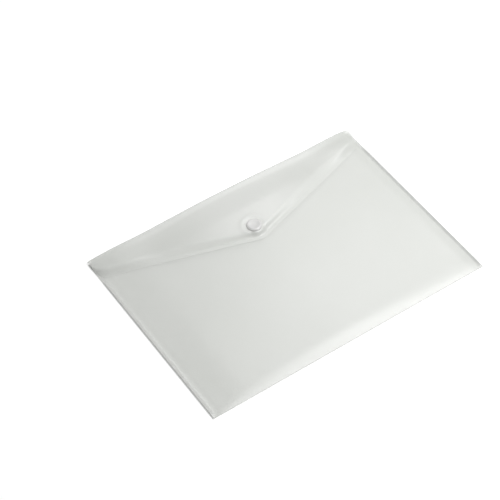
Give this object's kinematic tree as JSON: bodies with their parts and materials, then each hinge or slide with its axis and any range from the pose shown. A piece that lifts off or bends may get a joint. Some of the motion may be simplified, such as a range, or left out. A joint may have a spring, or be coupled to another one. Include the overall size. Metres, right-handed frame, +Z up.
{
  "type": "document wallet",
  "caption": "Flat frosted see-through plastic wallet for loose papers: a puffed pocket with welded sides and a pointed fold-over flap that a round snap popper holds shut.",
  "frame": {"origin": "middle of the closed wallet's footprint, on the surface that it lies on", "axes": "+X across the wallet along its longer side, +Y from the base fold to the folds of the flap, +Z up, out of the front panel"},
  "size_m": [0.33, 0.232, 0.0121],
  "materials": {
    "frosted_sheet": "frosted see-through polypropylene sheet with a fine even grain and a soft satin shine",
    "welded_edge": "two fused layers of the same sheet, with the fine ribbing of the welding bar",
    "popper_plastic": "milky moulded plastic, smooth and slightly glossy"
  },
  "bodies": {
    "pocket": {"back_panel": "frosted_sheet", "front_panel": "frosted_sheet", "base_fold": "frosted_sheet", "left_weld": "welded_edge", "right_weld": "welded_edge", "pocket_crease": "frosted_sheet", "popper_stud": "popper_plastic", "popper_back_cap": "popper_plastic"},
    "spine": {"spine": "frosted_sheet", "flap_crease": "frosted_sheet"},
    "flap": {"flap": "frosted_sheet", "popper_socket": "popper_plastic", "popper_cap": "popper_plastic"}
  },
  "joints": [
    {"name": "spine_fold", "type": "hinge", "parent": "pocket", "child": "spine", "pos_m": [0, 0.1157, 0.0003], "axis": [-1, 0, 0], "range_deg": [0, 90]},
    {"name": "flap_fold", "type": "hinge", "parent": "spine", "child": "flap", "pos_m": [0, 0.1157, 0.00665], "axis": [-1, 0, 0], "range_deg": [0, 84]}
  ],
  "couplings": [
    {"joint": "spine_fold", "follows": "flap_fold", "ratio": 1.0714}
  ]
}
